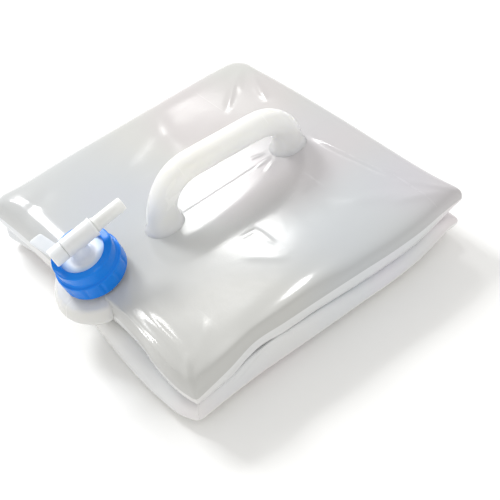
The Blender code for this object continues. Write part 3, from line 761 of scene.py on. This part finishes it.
def wall_profile(inset, side, place, upper):
    """Height at a distance in from the widest line.

    From the widest line the roll follows a quarter of an ellipse to its crest; beyond that its
    height over the gusset's plane dies away over ROLL_FADE.
    """
    out, rim, way = (UP_OUT, UP_RIM, 1) if upper else (LOW_OUT, LOW_RIM, -1)
    out, rim, roll = wander(side, place, out), wander(side, place, rim), crest_inset(side, place, upper)
    crest = wander(side, place, SEAM) + way * wander(side, place, GAP) / 2
    share = np.clip((inset + out) / (roll + out), 0, 1)
    rolled = rim + (crest - rim) * np.sqrt(np.clip(1 - (1 - share) ** 2, 0, 1))
    fade = 1 - smoothstep(roll, roll + ROLL_FADE, inset)
    bare = gusset_plane(inset, upper) + (crest - gusset_plane(roll, upper)) * fade
    return np.where(inset < roll, rolled, bare)


# %% Fine creases of the walls: side, half, then lines along the side and round the roll
CREASES = {("right", "lower"): [(-98, 11, -52, 15, 0.5, 1.3), (-90, 8, -60, 13.5, 0.4, 1.1),
                                (-75, 12, -38, 17, 0.5, 1.2)],
           ("right", "upper"): [(-100, 13, -60, 9, 0.5, 1.6), (-80, 10, -35, 12, 0.5, 1.4),
                                (-60, 14, -20, 12, 0.4, 1.2)],
           ("front", "upper"): [(60, 12, 104, 8, 0.6, 2.0)],
           ("front", "lower"): [(50, 9, 100, 13, 0.5, 2.0)]}

# %% One half side as a wall
# Between these two distances in from the widest line an opened wall is taken to bend when its reach is
# found, and the corner tugs fade.
BEND = 1.0, 22.0
COLUMNS, ROLL_ROWS, FLAP_ROWS = 170, 18, 43
# How far opened sides run past each other, and how often the reach is found anew
OVERLAP, ROUNDS = 0.7, 8


def gusset_wall(name, side, upper, seed):
    """Half of one side as a skin: rows run inwards from the widest line, columns along the side.

    The roll's rows are spaced by the angle round it. Past the diagonal a row follows the neighbour's
    profile just behind it, and then its plain plane. A row's reach is where the film of the opened
    side would meet its neighbour's, found by laying its end and swinging it open a few times.
    """
    k, way = list(WANDER).index(side), 1 if upper else -1
    tips, fold = (TOP_TIPS, UPPER_FOLD) if upper else (BASE_TIPS, LOWER_FOLD)
    t = np.linspace(-1, 1, COLUMNS)[None, :]
    s = 0.4 * t + 0.6 * np.sin(t * math.pi / 2)
    radius = np.where(s < 0, tips[k], tips[(k + 1) % 4])
    deep = HALF - CREASE_Y - 0.1
    round_it = 1 - np.cos(np.linspace(0, math.pi / 2, ROLL_ROWS))[:, None]
    inwards = np.linspace(0, 1, FLAP_ROWS + 1)[1:, None] ** 1.25

    def laid(along):
        """Inset, curl at the corner, distance past the diagonal and height of every point."""
        out, roll = wander(side, along, UP_OUT if upper else LOW_OUT), crest_inset(side, along, upper)
        inset = np.concatenate([-out[:ROLL_ROWS] + (roll + out)[:ROLL_ROWS] * round_it,
                                roll[ROLL_ROWS:] + (deep - roll[ROLL_ROWS:]) * inwards])
        near_rim = np.exp(-np.maximum(inset, 0) / 4)
        beyond = np.clip(np.abs(along) - (HALF - radius), 0, 0.72 * radius)
        curl = (radius - np.sqrt(radius ** 2 - beyond ** 2)) * near_rim
        past = np.abs(along) - (HALF - inset - curl)
        behind = np.maximum(HALF - np.abs(along) - 0.3 * radius * near_rim, 0)
        next_one = wall_profile(behind, side, np.sign(along) * (HALF - inset), upper)
        plain = smoothstep(2, 16, past)
        tucked = next_one * (1 - plain) + gusset_plane(behind, upper) * plain
        tucked = tucked + way * 0.4 * smoothstep(0, 8, past)
        mix = smoothstep(-1.5, 2.5, past)
        return inset, curl, past, wall_profile(inset, side, along, upper) * (1 - mix) + tucked * mix

    opened = math.pi / 2 - math.atan(TILT)
    reach = np.full((ROLL_ROWS + FLAP_ROWS, COLUMNS), FOLD)
    for _ in range(ROUNDS):
        inset, curl, past, height = laid(np.where(s < 0, -reach, reach))
        shut, rise = inset + curl, way * (height - fold)
        swung = FOLD_INSET + (shut - FOLD_INSET) * math.cos(opened) + rise * math.sin(opened)
        meets = HALF - shut - np.minimum(swung - shut, 0) * smoothstep(*BEND, shut)
        reach = 0.5 * (reach + meets + OVERLAP * smoothstep(0, 6, inset))
    along = s * reach
    inset, curl, past, height = laid(along)
    calm = smoothstep(10, 36, inset) * smoothstep(deep, deep - 25, inset) * smoothstep(4, -16, past)
    height = height + calm * swells(along * 1.6, inset * 3, seed, 0.5)
    inset = inset + TILT * way * (height - gusset_plane(inset, upper)) * smoothstep(20, 60, inset)
    turned = math.pi / 2 * k
    px, py = along, -(HALF - inset - curl)
    grid = np.stack([px * math.cos(turned) - py * math.sin(turned),
                     px * math.sin(turned) + py * math.cos(turned), height], -1)
    inward = facing(grid)
    inward = inward * (way if inward[len(grid) // 2, COLUMNS // 2, 2] > 0 else -way)
    girth = distances(grid[:, COLUMNS // 2])[:, None]
    half = "upper" if upper else "lower"
    grid = grid - inward * ridges(along, girth, CREASES.get((side, half), ()))[..., None]
    with_dish = (1 - smoothstep(*BEND, inset))[..., None] ** 2
    grid = grid + (tug(grid, UPPER_TUGS if upper else LOWER_TUGS) - grid) * with_dish
    # Walls take half the thick mark, fading in from the widest line: opacity and painted shade at the
    # roll.
    return film_skin(name, grid, grid + FILM * inward, 0.5 * np.exp(-np.maximum(inset, 0) / 8))


FACING = {"front": (0, -1), "right": (1, 0), "back": (0, 1), "left": (-1, 0)}
for number, (side, (nx, ny)) in enumerate(FACING.items()):
    for half, dish, flap in (("lower", "base", "low"), ("upper", "top", "high")):
        upper = half == "upper"
        wall = gusset_wall(f"{side}_wall_{half}", side, upper, 11 + 2 * number + upper)
        wall.data.materials.append(GUSSET_FILM_PAINTED_LIGHT)
        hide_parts(f"{side}_gusset_{half}")
        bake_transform(wall)

# %% [markdown]
# ## Neck and foot
# The neck leans forward on a round foot that swells out of the front shoulder. On the moulding this
# is all one skin. A boolean union would leave a sharp seam, so the foot is a turned shape whose
# points are lifted to the panel wherever they would sink into it, with a fillet between. Behind the
# neck it is laid under the panel, and in front of the rim it hangs free.

# %% The neck's own frame
NECK_TILT = math.radians(15)
NECK_BASE = np.array([0.0, -107.2, 51.0])
AXIS = np.array([0, -math.sin(NECK_TILT), math.cos(NECK_TILT)])
LEAN = np.array([0, math.cos(NECK_TILT), math.sin(NECK_TILT)])


def on_neck(local, turned=0.0):
    """Points given in the neck's frame, first turned about its axis, in the carrier's frame."""
    c, s = math.cos(turned), math.sin(turned)
    x, y, z = local[..., 0], local[..., 1], local[..., 2]
    return (NECK_BASE + (x * c - y * s)[..., None] * np.array([1.0, 0, 0])
            + (x * s + y * c)[..., None] * LEAN + z[..., None] * AXIS)


# %% Foot
# Reach of the fillet, how far the foot sinks under the panel, and how far it keeps below its skin
FILLET, SUNK_DEPTH, SKIN_GAP = 4.0, 5.0, 0.35
foot_profile = rounded([(17.4, -1.0), (18.6, -4.0), (30.4, -4.0), (34.9, -12.6), (33.0, -15.2),
                        (24.0, -16.2), (10.0, -17.0)], 2.2, 7)
foot_local = turn(foot_profile, 160)
foot = on_neck(foot_local)
fx, fy = foot[..., 0], foot[..., 1]
within = HALF - np.maximum(np.abs(fx), -fy) + wander("front", fx, UP_OUT)
panel = top_height(fx, fy, np.maximum(within, 0.01), wander("front", fx, UP_RIM)) - SKIN_GAP
# Past the rim the panel counts as much lower, so the foot hangs free there.
panel = panel - 6.0 * np.clip(-within, 0, 6)
around = np.hypot(foot_local[..., 0], foot_local[..., 1])
sunk = smoothstep(-22, 0, foot_local[..., 1]) * smoothstep(16, 23.5, around) * smoothstep(0, 8, within)
foot[..., 2] -= (np.maximum(foot[..., 2] - panel, 0) + SUNK_DEPTH) * sunk
foot[..., 2] = np.where(within > -6, soft_max(foot[..., 2], panel, FILLET), foot[..., 2])
foot_skin = tube("neck_foot", foot)
# An even thick mark: opacity and a little painted shade over the whole foot.
mark(foot_skin, "thick", 0.25)

# %% Neck with its thread
NECK_RADIUS, NECK_BORE, NECK_LOW, LIP = 18.4, 16.2, -9.0, 14.0
THREAD_PITCH, THREAD_RISE = 3.6, 1.0


def thread(angle, radius, height):
    """Crest of the thread: a smooth bump THREAD_RISE high that climbs a pitch each turn."""
    climb = (height / THREAD_PITCH - angle / (2 * math.pi)) % 1.0
    outside = (radius > 17.5) & (height > 2.0) & (height < 11.5)
    return np.where(outside, THREAD_RISE * np.exp(-((climb - 0.5) / 0.17) ** 2), 0.0)


outer_wall = [(NECK_RADIUS, height) for height in np.linspace(NECK_LOW, 13.2, 80)]
neck_profile = outer_wall + [(18.0, LIP), (16.8, LIP), (NECK_BORE, 13.4), (NECK_BORE, NECK_LOW)]
neck = tube("neck_thread", on_neck(turn(neck_profile, 120, thread)), looped=True)
# An even thick mark: opacity and painted shade over the whole neck.
mark(neck, "thick", 0.6)

# %% [markdown]
# ## Carry handle
# The handle is a hollow arch blown in one with the bag: nearly round in the middle, deeper at the
# feet, lower at the back. A bevelled curve could make it, but its section changes on the way, so it
# is a ring of points carried along the arch's centre line and squared to it. A tab of pinched
# plastic was left inside the front foot.

# %% The arch's centre line
# Length and height of the arch, radius of its bends, fall to the back and place along y
SPAN, RISE, ELBOW, FALL, HANDLE_Y = 113.0, 35.5, 27.0, 3.5, 8.0


def arch_line(count):
    """Centre line as (along, height): up the front leg, round a quarter circle, along the top,
    and down again. Its points are evenly spaced along its length."""
    half, spring = SPAN / 2, RISE - ELBOW
    a = np.linspace(0, math.pi / 2, 40)
    front = np.stack([-half + ELBOW * (1 - np.cos(a)), spring + ELBOW * np.sin(a)], -1)
    line = np.concatenate([[(-half, -0.6)], front, front[::-1] * (-1, 1), [(half, -0.6)]])
    line[:, 1] -= FALL * (line[:, 0] / half) * (line[:, 1] / RISE)
    return points_at(line, np.linspace(0, distances(line)[-1], count))


def smooth_line(line, rounds):
    """Averages each inner point with its neighbours, a number of times."""
    for _ in range(rounds):
        line[1:-1] = 0.25 * line[:-2] + 0.5 * line[1:-1] + 0.25 * line[2:]
    return line


line = smooth_line(arch_line(150), 30)
ahead = np.gradient(line, axis=0)
ahead /= np.linalg.norm(ahead, axis=1)[:, None]
print("arch length in mm:", distances(line)[-1].round(1))

# %% The arch's section
# Half sizes of the section and how much they grow at the feet, then the tab and the back's crinkles
HALF_WIDE, HALF_DEEP, FOOT_DEEPER, FLARE, SQUARENESS = 9.4, 9.5, 3.3, 2.6, 2.15
TAB, TAB_HEIGHT, CRINKLE = 2.6, 4.5, 0.22
upness = np.clip(line[:, 1] / (0.8 * RISE), 0, 1)
ahead[line[:, 1] < 2] = np.where(line[line[:, 1] < 2][:, :1] < 0, (0.0, 1.0), (0.0, -1.0))
flare = FLARE * np.exp(-np.maximum(line[:, 1], 0) / 2.2)
across = HALF_WIDE + flare
deep = HALF_DEEP + FOOT_DEEPER * (1 - upness) ** 1.5 + flare
a = circle(72)
cosine, sine = squared_off(a, 2 / SQUARENESS)
tab = TAB * np.exp(-((line[:, 1] - TAB_HEIGHT) / 2.3) ** 2) * (line[:, 0] < 0)
bulge = tab[:, None] * np.exp(-((a - 1.5 * math.pi) / 0.28) ** 2)
crinkle = CRINKLE * np.sin(line[:, 1] * 1.9) * (line[:, 0] > 10) * smoothstep(34, 20, line[:, 1])
reach = deep[:, None] * sine - bulge
reach = reach - crinkle[:, None] * np.exp(-((a - 0.5 * math.pi) / 0.5) ** 2)
arch = np.stack([across[:, None] * cosine,
                 line[:, :1] - ahead[:, 1:2] * reach + HANDLE_Y,
                 FLAT + line[:, 1:2] + ahead[:, 0:1] * reach], -1)
handle = tube("carry_handle_arch", arch)
# An even thick mark: opacity and a little painted shade over the whole handle.
mark(handle, "thick", 0.3)
print("handle top in mm:", arch[..., 2].max().round(1), "feet along y", arch[0, :, 1].min().round(1),
      arch[-1, :, 1].max().round(1))

# %% [markdown]
# ## Ring, gasket and tap
# The ring is a turned shape: a wide grip band with shallow upright grooves, a collar, and a top
# plate with a round opening. The tap's flange shows in that opening; from it a short stem carries a
# barrel that lies across, and in the barrel turns a plug with a flat lever and a hose nozzle.

# %% Screw ring
GRIPS, GRIP_DEPTH, BAND_HIGH = 12, 0.7, 12.0
PLATE_LOW, PLATE_HIGH, RING_BORE = 19.0, 22.0, 15.6


def grip(angle, radius, height):
    """Grooves of the band: at each of GRIPS angles the radius dips by a smooth notch."""
    share = np.abs(((angle / (2 * math.pi) * GRIPS) % 1.0) - 0.5)
    inside_band = smoothstep(0.2, 1.4, height) * smoothstep(11.9, 10.6, height) * (radius > 22.6)
    return -GRIP_DEPTH * inside_band * np.exp(-(share / 0.11) ** 2)


def sample(profile, step):
    """Points at most a step apart along a closed profile."""
    line = np.concatenate([profile, profile[:1]])
    corners = distances(line)
    return points_at(line, np.union1d(np.arange(0, corners[-1], step), corners)[:-1])


ring_corners = [(20.0, 0.0), (23.3, 0.0), (23.3, BAND_HIGH), (21.3, BAND_HIGH + 0.6),
                (21.3, PLATE_HIGH), (RING_BORE, PLATE_HIGH), (RING_BORE, PLATE_LOW), (20.0, PLATE_LOW)]
ring_profile = sample(rounded(ring_corners, 0.9, 4, closed=True), 0.8)
ring = tube("screw_ring", on_neck(turn(ring_profile, 288, grip)), looped=True, sharp=50)

# %% Gasket and flange
GASKET_LOW, GASKET_HIGH, SEAT_RADIUS = 14.3, 16.0, 18.6
gasket_profile = rounded([(NECK_BORE, GASKET_LOW), (SEAT_RADIUS, GASKET_LOW),
                          (SEAT_RADIUS, GASKET_HIGH), (NECK_BORE, GASKET_HIGH)], 0.5, 3, closed=True)
gasket = tube("gasket_washer", on_neck(turn(gasket_profile, 96)), looped=True)

TAP_TURN = math.radians(-5.6)
BARREL_H, POLE, TURNS = 33.2, 0.01, 128
flange_profile = rounded([(POLE, 16.3), (18.9, 16.3), (18.9, 18.7), (8.5, 18.8), (6.3, 21.0), (6.0, 33.0),
                          (POLE, 33.0)], 1.2, 5)
flange = tube("tap_flange", on_neck(turn(flange_profile, TURNS), TAP_TURN), sharp=50)
reach = np.repeat(flange_profile[:, 0], TURNS)
# The edge marks rise towards the flange's rim, where the ring's painted blue reflection lies.
mark(flange, "edge", np.append(smoothstep(8.5, 17.5, reach), (0, 0)))

# %% Barrel, plug and nozzle
def across_barrel(name, profile, steps, looped):
    """A turned piece laid along the barrel: its height runs along the local Y axis."""
    rings = turn(profile, steps)
    laid = np.stack([rings[..., 0], rings[..., 2], BARREL_H + rings[..., 1]], -1)
    return tube(name, on_neck(laid, TAP_TURN), looped=looped, sharp=50)


barrel_profile = rounded([(5.1, -7.2), (6.7, -7.2), (6.6, -5.6), (6.6, 14.8), (6.9, 15.2), (6.9, 16.5),
                          (5.1, 16.5)], 0.35, 3, closed=True)
barrel = across_barrel("tap_barrel", barrel_profile, 96, True)
nozzle_profile = rounded([(4.8, -8.0), (4.8, 16.8), (5.4, 16.9), (5.4, 18.0), (4.85, 19.0), (4.7, 38.8),
                          (4.3, 39.9), (3.4, 39.9), (3.3, 2.0), (POLE, 1.0), (POLE, -8.0)], 0.5, 3,
                         closed=True)
nozzle = across_barrel("plug_nozzle", nozzle_profile, 80, True)
head_profile = rounded([(POLE, -17.3), (5.9, -17.3), (6.4, -16.6), (6.4, -7.28), (POLE, -7.28)], 0.7, 4)
head = across_barrel("plug_head", head_profile, 80, False)

# %% Lever
def lever_plate(reach=24.5, near=-7.5, wide=9.4, thick=2.6, skew=5.0, count=60, steps=64):
    """A flat plate: rings across it shrink to a round tip, each a flattened super-ellipse."""
    t = np.linspace(0, 1, count)[:, None]
    a = circle(steps)
    tip = np.sqrt(np.clip(1 - np.clip((t - 0.86) / 0.14, 0, 1) ** 2.4, 0, 1))
    half_wide = wide / 2 * (1 - 0.35 * (1 - tip)) * np.where(t > 0.999, 0.72, 1)
    half_thick = thick / 2 * (1 - 0.12 * t) * np.maximum(tip, 0.25)
    c, s = squared_off(a, 0.42)
    x = -(1.0 + (reach - 1.0) * t) + 0 * a
    y = near - wide / 2 - skew * t + half_wide * c
    return np.stack([x, y, BARREL_H + half_thick * s], -1)


lever = tube("plug_lever", on_neck(lever_plate(), TAP_TURN), sharp=60)

# %% [markdown]
# ## Joining the pieces to the frame
# Each piece of the plan below rides on the body that it belongs to, and stands for the frame's plain
# node. The foot, neck and handle are all part of the top moulding, so they ride with the top panel.

# %% Bodies and nodes
plan = {("top", "film"): [(top_panel, PANEL_FILM, "top_panel"), (foot_skin, FOOT_FILM_PAINTED_LIGHT, ""),
                          (neck, HANDLE_WHITER_FILM_PAINTED_LIGHT, ""), (handle, HANDLE_WHITER_FILM_PAINTED_LIGHT, "carry_handle")],
        ("base", "film"): [(bottom_panel, BASE_FILM, "bottom_panel")],
        ("ring", "ring_blue"): [(ring, RING_BLUE, "cap_ring")],
        ("seal", "gasket"): [(gasket, GASKET_GREY, "tap_gasket")],
        ("tap", "tap_natural"): [(flange, FLANGE_ICE_RING_REFLECTION, "tap_body"), (barrel, TAP_ICE, "")],
        ("plug", "tap_natural"): [(nozzle, PLUG_ICE, "tap_plug"), (head, TAP_ICE, ""),
                                  (lever, LEVER_ICE_SHADED, "")]}
for (body, slot), parts in plan.items():
    for piece, material, node in parts:
        piece.data.materials.append(material)
        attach(piece, body)
        if node:
            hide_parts(node)
    print(body, "carries", [piece.name for piece, _, _ in parts])

# %% Size of the dressed carrier beside the frame's
low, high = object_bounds()
boxes = {"cad": [list(cad_low), list(cad_high)], "visual": [list(low), list(high)]}
for label, (a, b) in boxes.items():
    print(label, [round(v / MM, 1) for v in (*a, *b)])
